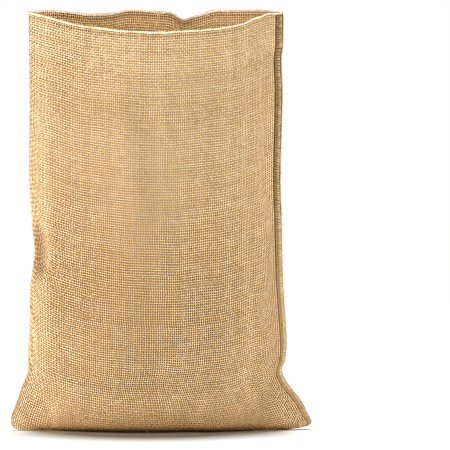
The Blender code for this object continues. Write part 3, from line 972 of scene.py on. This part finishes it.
# how far the strip stands out, by distance in from its edge
stripRise = (
    (0.0, 0.0002),
    (0.002, sideStrip["lift"]),
    (0.0095, sideStrip["lift"]),
    (0.0118, -0.0002),
    (0.0127, -sideStrip["groove"]),
    (0.0145, -0.0020),
)
bandPlaces = np.concatenate([-stripPlaces[::-1], stripPlaces[1:]])     # below 0 on the front


def bandTable():
    band = np.concatenate([frontStrip[:, ::-1], backStrip[:, 1:]], axis=1)
    middle = band.shape[1] // 2
    lengths = lengthsAlong(band[:, middle], 0)
    wanted = lengths[-1] * shares(sideStrip["rows"])
    columns = [resampled(band[:, column], lengths, wanted) for column in range(band.shape[1])]
    return np.stack(columns, axis=1), lengths[-1]


bandPoints, bandLength = bandTable()
bandNormals = softened(-normalsOf(bandPoints), 3)


def stripMaterial():
    material, tree = freshMaterial("strip_cloth")
    x, y = ownMap(tree)
    along = product(tree, y, bandLength * 1000.0)
    across = product(tree, x, sideStrip["width"])
    ribs = maths(tree, "SINE", product(tree, along, fullTurn / sideStrip["ribPitch"]))
    columns = maths(tree, "SINE", product(tree, across, fullTurn / sideStrip["columnPitch"]))
    weaveTone = product(tree, product(tree, ribs, columns), sideStrip["ribTone"])
    tone = summed(tree, weaveTone, noise(tree, joined(tree, across, along), *sideStrip["speckle"]))
    edge = maths(tree, "ABSOLUTE", maths(tree, "SUBTRACT", x, 0.5))
    dark, pale = sideStrip["darkColour"], sideStrip["paleColour"]
    colour = blended(tree, spread(tree, tone, sideStrip["darkSpan"]), dark, sideStrip["colour"])
    colour = blended(tree, spread(tree, tone, sideStrip["paleSpan"]), colour, pale)
    paleEdge = spread(tree, edge, sideStrip["edgeSpan"], 0.0, sideStrip["edgeShare"])
    colour = blended(tree, paleEdge, colour, pale)
    lowPart = spread(tree, y, sideStrip["lowSpan"], sideStrip["lowShare"], 0.0)
    colour = blended(tree, lowPart, colour, sideStrip["lowColour"])
    patches = noise(tree, joined(tree, 0.0, along), sideStrip["brokenScale"])
    broken = spread(tree, patches, sideStrip["brokenSpan"], sideStrip["leastBroken"])
    # painted shade in the groove
    groove = product(tree, spread(tree, edge, sideStrip["grooveSpan"]), broken)
    groove = product(tree, groove, spread(tree, y, sideStrip["lowSpan"], sideStrip["lowGroove"]))
    colour = blended(tree, groove, colour, sideStrip["grooveShade"])
    surface(tree, colour, sideStrip, tone)
    return material


def makeStrip():
    inFrom = np.abs(bandPlaces)
    rise = np.interp(inFrom, *np.array(stripRise).T)
    rows, every, most = bandPoints.shape[0], sideStrip["wobbleRows"], sideStrip["mostWobble"]
    dice = np.random.default_rng(sideStrip["seed"])
    heights = dice.standard_normal((rows // every + 3, len(inFrom))).clip(-most, most) * sideStrip["wobble"]
    at = np.arange(rows) / every
    row = at.astype(int)
    t = (at - row)[:, None]
    bumps = (heights[row] * (1.0 - t) + heights[row + 1] * t) * (inFrom < sideStrip["wobbleUpTo"])
    rings = aboveFloor(bandPoints + bandNormals * (rise[None, :] + bumps)[..., None])
    return placed("side_strip", meshOf("side_strip", rings, gridUvs(*rings.shape[:2])), stripMaterial())


# the look of sewing thread, selvedge and loose fibres: a twist, broken by patches
threadLook = {
    "twist": 0.22,
    "patchLength": 0.3,         # the share of the twist's turns at which the patches change
    "patchScale": 3.0,
    "span": (0.25, 0.75),
    "roughness": 0.85,
    "specular": 0.25,
    "bump": (0.6, 0.0003),
}


def threadMaterial(name, piece, turns):  # piece is the dictionary with its colour and shade
    material, tree = freshMaterial(name)
    x, y = ownMap(tree)
    turn = summed(tree, product(tree, y, turns), x)
    twist = maths(tree, "SINE", product(tree, turn, fullTurn))
    place = joined(tree, x, product(tree, y, turns * threadLook["patchLength"]))
    patches = noise(tree, place, threadLook["patchScale"], roughness=0.5)
    tone = summed(tree, product(tree, twist, threadLook["twist"]), patches)
    colour = blended(tree, spread(tree, tone, threadLook["span"]), piece["shade"], piece["colour"])
    surface(tree, colour, threadLook, tone)
    return material


# the thread that is sewn over the strip's edge, and the straight stitches in its groove
sewing = {
    "seed": 19,
    "pitch": 0.0037,
    "start": 0.010,
    "leftOver": 0.0125,         # what the stitches leave free of the strip's length
    "jitter": 0.0009,
    "slant": 0.0062,            # how far a stitch climbs from the edge to the seam
    "leastSlant": 0.15,
    "straightFrom": 0.590,      # above this height it is nearly level
    "straightFade": 0.10,
    "radius": 0.00062,
    "thickPlay": ((0.24, 5.1), (0.14, 17.3)),   # share of the radius, and how fast it changes
    "needlePlace": 0.0108,      # how far in from the edge the needle goes
    "swingPower": 0.75,
    "sink": 0.0010,
    "sinkFrom": 0.88,           # share of the way to the needle's place
    "proud": 0.7,               # the thread's middle is this share of its radius over the strip
    "pointsEach": 20,
    "sides": 6,
    "twists": 6.0,              # of the thread, for each stitch
    "colour": (0.690, 0.510, 0.285, 1.0),
    "shade": (0.210, 0.122, 0.045, 1.0),
}


def onBand(inFrom, along, rise):
    column = np.interp(inFrom, bandPlaces, np.arange(len(bandPlaces)))
    row = along / bandLength * sideStrip["rows"]
    return readOff(bandPoints, column, row) + readOff(bandNormals, column, row) * rise[..., None]


def makeSewing():
    stitches = int((bandLength - sewing["leftOver"]) / sewing["pitch"])
    turn = np.arange(stitches * sewing["pointsEach"] + 1) / sewing["pointsEach"]    # one turn for a stitch
    swing = np.cos(fullTurn * turn)             # 1 on the back's needle line, -1 on the front's
    inFrom = sewing["needlePlace"] * np.sign(swing) * np.abs(swing) ** sewing["swingPower"]
    dice = np.random.default_rng(sewing["seed"])
    jitter = dice.uniform(-sewing["jitter"], sewing["jitter"], stitches + 2)
    along = sewing["start"] + sewing["pitch"] * turn + np.interp(turn, np.arange(stitches + 2), jitter)
    slanting = (sewing["straightFrom"] - along) / sewing["straightFade"]
    slant = sewing["slant"] * np.clip(slanting, sewing["leastSlant"], 1.0)
    along = along + slant * (np.abs(swing) - 0.5)
    reached = np.abs(inFrom) / sewing["needlePlace"]
    deep = upToOne((reached - sewing["sinkFrom"]) / (1.0 - sewing["sinkFrom"]))
    rise = sideStrip["lift"] + sewing["radius"] * sewing["proud"] - sewing["sink"] * deep ** 2
    path = onBand(inFrom, along, rise)
    play = sum(share * np.sin(turn * speed) for share, speed in sewing["thickPlay"])
    ways = unit(np.gradient(path, axis=0))
    data = tubeMesh("strip_sewing", path, ways, sewing["radius"] * (1.0 + play), sewing["sides"])
    return placed("strip_sewing", data, threadMaterial("sewing_thread", sewing, stitches * sewing["twists"]))


# the mouth ends in the cloth's own selvedge, a firm cord, whose pale colour is partly a painted highlight
# along the rim
selvedge = {
    "seed": 23,
    "radius": 0.00170,
    "flatten": 0.85,
    "bumps": 0.26,              # it swells at each upright yarn, by this share of its radius
    "unevenness": (-0.30, 0.26),
    "slowSteps": 70,
    "slowPlay": 0.32,
    "dropPlay": 0.0005,
    "inside": 0.0010,
    "below": 0.0006,
    "sides": 10,
    "rowsPerWarp": 4,
    "colour": (0.840, 0.740, 0.610, 1.0),
    "shade": (0.430, 0.295, 0.175, 1.0),
}


def makeSelvedge():
    # round the mouth: from the strip's edge over the front to the fold, and over the back again
    overFront = [frontStrip[-1, :-2], frontRows[-1, ::-1][1:]]
    overBack = [backRows[-1, 1:-1], backStrip[-1, ::-1][2:]]
    loop = np.concatenate(overFront + overBack)
    lengths = lengthsAlong(loop, 0)
    warpCount = 2 * weave["warps"]
    rows = warpCount * selvedge["rowsPerWarp"]
    path = resampled(loop, lengths, lengths[-1] * shares(rows))
    path[-1] = path[0]
    ways = np.roll(path[:-1], -1, axis=0) - np.roll(path[:-1], 1, axis=0)
    ways = unit(np.concatenate([ways, ways[:1]]))
    path = path - unit(np.cross(upward, ways)) * selvedge["inside"]
    turn = np.arange(rows + 1) / selvedge["rowsPerWarp"]
    dice = np.random.default_rng(selvedge["seed"])
    slow = dice.uniform(-1.0, 1.0, (2, selvedge["slowSteps"] + 1))
    slow[:, -1] = slow[:, 0]
    slowRadius, slowDrop = [np.interp(shares(rows), shares(selvedge["slowSteps"]), row) for row in slow]
    path[:, 2] -= selvedge["below"] + selvedge["dropPlay"] * (1.0 + slowDrop)
    uneven = np.interp(turn, np.arange(warpCount + 1), dice.uniform(*selvedge["unevenness"], warpCount + 1))
    uneven[-1] = uneven[0]
    uneven = uneven + selvedge["slowPlay"] * slowRadius
    radii = selvedge["radius"] * (1.0 + selvedge["bumps"] * np.cos(fullTurn * turn) + uneven)
    data = tubeMesh("mouth_selvedge", path, ways, radii, selvedge["sides"], selvedge["flatten"], math.pi)
    return placed("mouth_selvedge", data, threadMaterial("selvedge_cord", selvedge, float(warpCount)))


# loose fibres stand out of the strip's edge, the mouth, the left fold and, here and there, the cloth
fibres = {
    "seed": 61,
    "radius": 0.00013,
    "rows": 6,
    "shortest": 0.003,
    "longest": 0.011,
    "leastShare": 0.5,          # chance leaves at least this share of a length
    "bend": 0.55,
    "stray": 0.7,
    "skew": (0.3, 0.5, 0.8),    # a direction that no fibre follows closely
    "pattern": 0.37,            # each fibre reads another part of the pattern
    "edgeCount": 110,           # those on the strip's edge
    "edgeUp": (0.03, 0.995),
    "edgeStray": 0.9,
    "colour": (0.930, 0.800, 0.600, 1.0),
    "shade": (0.620, 0.450, 0.270, 1.0),
    "turns": 2.0,
}
# around is 0 at the strip, 1 at the left fold and 2 at the strip again, up is 1 at the mouth, and stand
# and lift say how much a fibre follows the way out of the cloth and the way up
fibreRow = namedtuple("fibreRow", "count aroundFrom aroundTo upFrom upTo stand lift")
fibreRows = (
    fibreRow(70, 0.000, 0.004, 0.10, 1.00, 0.50, 0.0),      # beside the strip
    fibreRow(60, 0.970, 1.030, 0.10, 0.99, 0.90, 0.0),      # the left fold
    fibreRow(170, 0.020, 1.980, 0.992, 1.00, 0.35, 0.6),    # the mouth
    fibreRow(120, 0.040, 0.960, 0.08, 0.98, 0.45, 0.0),     # the front
    fibreRow(60, 1.040, 1.960, 0.08, 0.98, 0.45, 0.0),      # the back
)


def fibreRoots(dice):  # where they grow, and the way out of the cloth there
    places, ways = [], []
    for row in fibreRows:
        column = dice.uniform(row.aroundFrom, row.aroundTo, row.count) * cloth["acrossSteps"]
        level = dice.uniform(row.upFrom, row.upTo, row.count) * cloth["upSteps"]
        places.append(readOff(clothPoints, column, level))
        out = readOff(clothNormals, column, level) * row.stand + upward * row.lift
        ways.append(out + dice.uniform(-fibres["stray"], fibres["stray"], (row.count, 3)))
    count = fibres["edgeCount"]
    column = np.full(count, float(bandPoints.shape[1] // 2))
    level = dice.uniform(*fibres["edgeUp"], count) * sideStrip["rows"]
    places.append(readOff(bandPoints, column, level))
    stray = dice.uniform(-fibres["edgeStray"], fibres["edgeStray"], (count, 3))
    ways.append(readOff(bandNormals, column, level) + stray)
    return np.concatenate(places), unit(np.concatenate(ways))


def makeFibres():
    dice = np.random.default_rng(fibres["seed"])
    roots, ways = fibreRoots(dice)
    count = len(roots)
    bends = dice.uniform(-1.0, 1.0, (count, 3)) * fibres["bend"]
    lengths = dice.uniform(fibres["shortest"], fibres["longest"], count)
    lengths = lengths * dice.uniform(fibres["leastShare"], 1.0, count)
    t = np.linspace(0.0, 1.0, fibres["rows"])[None, :, None]
    path = roots[:, None] + lengths[:, None, None] * (t * ways[:, None] + t ** 2 * bends[:, None])
    along = np.gradient(path, axis=1)
    sideWay = unit(np.cross(along, np.array(fibres["skew"])))
    upWay = unit(np.cross(sideWay, along))
    thick = closedEnds(np.full((count, fibres["rows"]), fibres["radius"]))[:, None, :, None]
    out = ringSide[..., None] * sideWay[:, None] + np.sign(ringRise)[..., None] * upWay[:, None]
    points = aboveFloor(path[:, None] + thick * out)
    alongUv = t[:, None, :, 0] + np.arange(count)[:, None, None] * fibres["pattern"]
    uvs = np.stack(np.broadcast_arrays(ringUv + 0.5, alongUv), axis=-1)
    data = yarnMesh("loose_fibres", False, points, uvs, np.ones(points.shape[:3]))
    return placed("loose_fibres", data, threadMaterial("loose_fibre", fibres, fibres["turns"]))


trims = [makeStrip(), makeSewing(), makeSelvedge(), makeFibres()]
rim = trims[2]
for piece in trims:
    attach(piece, "root")
print("strip, its sewing, the selvedge and loose fibres")


# floor, light and camera
studio = {
    "cameraPlace": (0.1005, -3.3918, 0.322),
    "lens": 173.12,
    "sensor": 36.0,
    "farthest": 50.0,
    "floorSize": 12.0,
    "floorColour": (0.80, 0.80, 0.79, 1.0),
    "floorLook": {"roughness": 0.9, "specular": 0.1},
    "backdrop": 1.0,            # how bright the white surroundings look, and how much they light the sack
    "ambient": 0.11,
    "pixelFilter": 1.0,         # keeps the yarns crisp, as in the photo
    "lampAim": (0.0, 0.0, 0.30),
    "lampColour": (1.0, 0.985, 0.965),
    "throughColour": (1.0, 0.870, 0.660),       # of light that comes through the cloth into the mouth
    "sunOnSack": 0.2,
    "sunOnFloor": 3.9,          # overhead, a little from behind, which puts a shadow under the sack
    "sunSpread": 0.17,
    "sunTurn": (-0.104, 0.0, 0.0),
}
# what a lamp lights: the whole sack, or only the back panel and the rim
lampRow = namedtuple("lampRow", "name lit place size power")
lamps = (
    lampRow("lowFront", "sack", (-0.1, -2.4, 0.15), 0.8, 45.0),
    lampRow("left", "sack", (-1.20, -0.25, 0.28), 0.5, 13.5),
    lampRow("leftLow", "sack", (-0.75, -0.25, 0.08), 0.3, 3.4),
    lampRow("frontLeft", "sack", (-0.90, -0.90, 0.12), 0.5, 3.5),
    lampRow("right", "sack", (0.95, -0.70, 0.16), 0.5, 9.0),
    lampRow("rightHigh", "sack", (0.85, -0.85, 0.45), 0.5, 4.5),
    lampRow("behind", "sack", (0.3, 2.5, 0.9), 1.0, 44.0),
    lampRow("mouth", "back", (0.0, -3.2, 1.3), 1.0, 104.0),
)


def makeFloor():
    builder = bmesh.new()
    bmesh.ops.create_grid(builder, x_segments=2, y_segments=2, size=studio["floorSize"] / 2.0)
    data = bpy.data.meshes.new("floor")
    builder.to_mesh(data)
    builder.free()
    material, tree = freshMaterial("white_floor")
    surface(tree, studio["floorColour"], studio["floorLook"])
    return placed("floor", data, material)


def aimed(thing, aim):
    way = [goal - start for goal, start in zip(aim, thing.location)]
    flat = math.hypot(way[0], way[1])
    thing.rotation_euler = (math.pi / 2.0 + math.atan2(way[2], flat), 0.0, math.atan2(-way[0], way[1]))


def addLight(name, data, power, pieces):  # each light reaches only its own pieces
    data.energy = power
    light = bpy.data.objects.new(name, data)
    bpy.context.scene.collection.objects.link(light)
    lit = bpy.data.collections.new("lit_by_" + name)
    for piece in pieces:
        lit.objects.link(piece)
    light.light_linking.receiver_collection = lit
    return light


def makeLamps():
    for row in lamps:
        whole = row.lit == "sack"
        data = bpy.data.lights.new(row.name, "AREA")
        data.shape = "DISK"
        data.size = row.size
        data.color = studio["lampColour"] if whole else studio["throughColour"]
        lamp = addLight(row.name, data, row.power, sackPieces if whole else backPieces)
        lamp.location = row.place
        aimed(lamp, studio["lampAim"])


def makeSun(name, pieces):
    data = bpy.data.lights.new(name, "SUN")
    data.angle = studio["sunSpread"]
    addLight(name, data, studio[name], pieces).rotation_euler = studio["sunTurn"]


def makeCamera():
    data = bpy.data.cameras.new("camera")
    data.lens = studio["lens"]
    data.sensor_width = studio["sensor"]
    data.clip_end = studio["farthest"]
    camera = bpy.data.objects.new("camera", data)
    camera.location = studio["cameraPlace"]
    camera.rotation_euler = (math.pi / 2.0, 0.0, 0.0)
    bpy.context.scene.collection.objects.link(camera)
    bpy.context.scene.camera = camera


def makeWorld():
    world = bpy.data.worlds.new("studio")
    world.use_nodes = True
    tree = world.node_tree
    seen = addNode(tree, "ShaderNodeLightPath").outputs["Is Camera Ray"]
    strength = product(tree, seen, studio["backdrop"] - studio["ambient"])
    background = tree.nodes["Background"]
    background.inputs["Color"].default_value = (1.0, 1.0, 1.0, 1.0)
    feed(tree, background.inputs["Strength"], summed(tree, strength, studio["ambient"]))
    bpy.context.scene.world = world


floor = makeFloor()
floor.visible_diffuse = False                   # it throws no light back up
sackPieces = warps + wefts + grounds + trims
backPieces = [warps[1], wefts[1], grounds[1], rim]
makeLamps()
makeSun("sunOnSack", sackPieces)
makeSun("sunOnFloor", [floor])                  # the lamps leave the floor alone, so it keeps this shadow
makeCamera()
makeWorld()
bpy.context.scene.view_settings.view_transform = "Standard"
bpy.context.scene.cycles.filter_width = studio["pixelFilter"]
print("studio: floor, lamps and camera")
